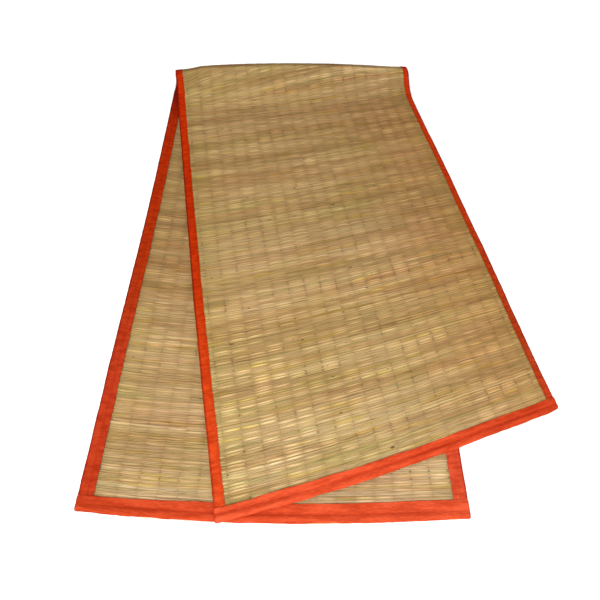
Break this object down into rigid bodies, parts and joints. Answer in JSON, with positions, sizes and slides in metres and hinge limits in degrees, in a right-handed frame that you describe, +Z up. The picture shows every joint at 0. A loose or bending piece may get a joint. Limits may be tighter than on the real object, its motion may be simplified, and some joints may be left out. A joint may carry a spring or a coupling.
{
  "type": "folded woven grass floor mat",
  "caption": "Long floor mat woven of grass with cloth tape bound round its edges, folded over once so that its two layers lie on each other.",
  "frame": {"origin": "centre of the folded mat's bounding box, on the floor that it lies on", "axes": "+Y towards the fold, along the length of the folded mat; +X to the right of someone at the two near ends who faces the fold; +Z up"},
  "size_m": [0.8128, 1.1097, 0.0643],
  "materials": {
    "woven_grass": "dry straw-coloured grass in a coarse weave, matte with a slight gloss on single blades",
    "side_tape": "plain cotton tape, matte orange red",
    "end_tape": "wider plain cotton tape, matte orange red"
  },
  "bodies": {
    "root": {"grass_panel": "woven_grass", "binding_left": "side_tape", "binding_right": "side_tape", "binding_end_lower": "end_tape", "binding_end_upper": "end_tape"}
  },
  "joints": []
}
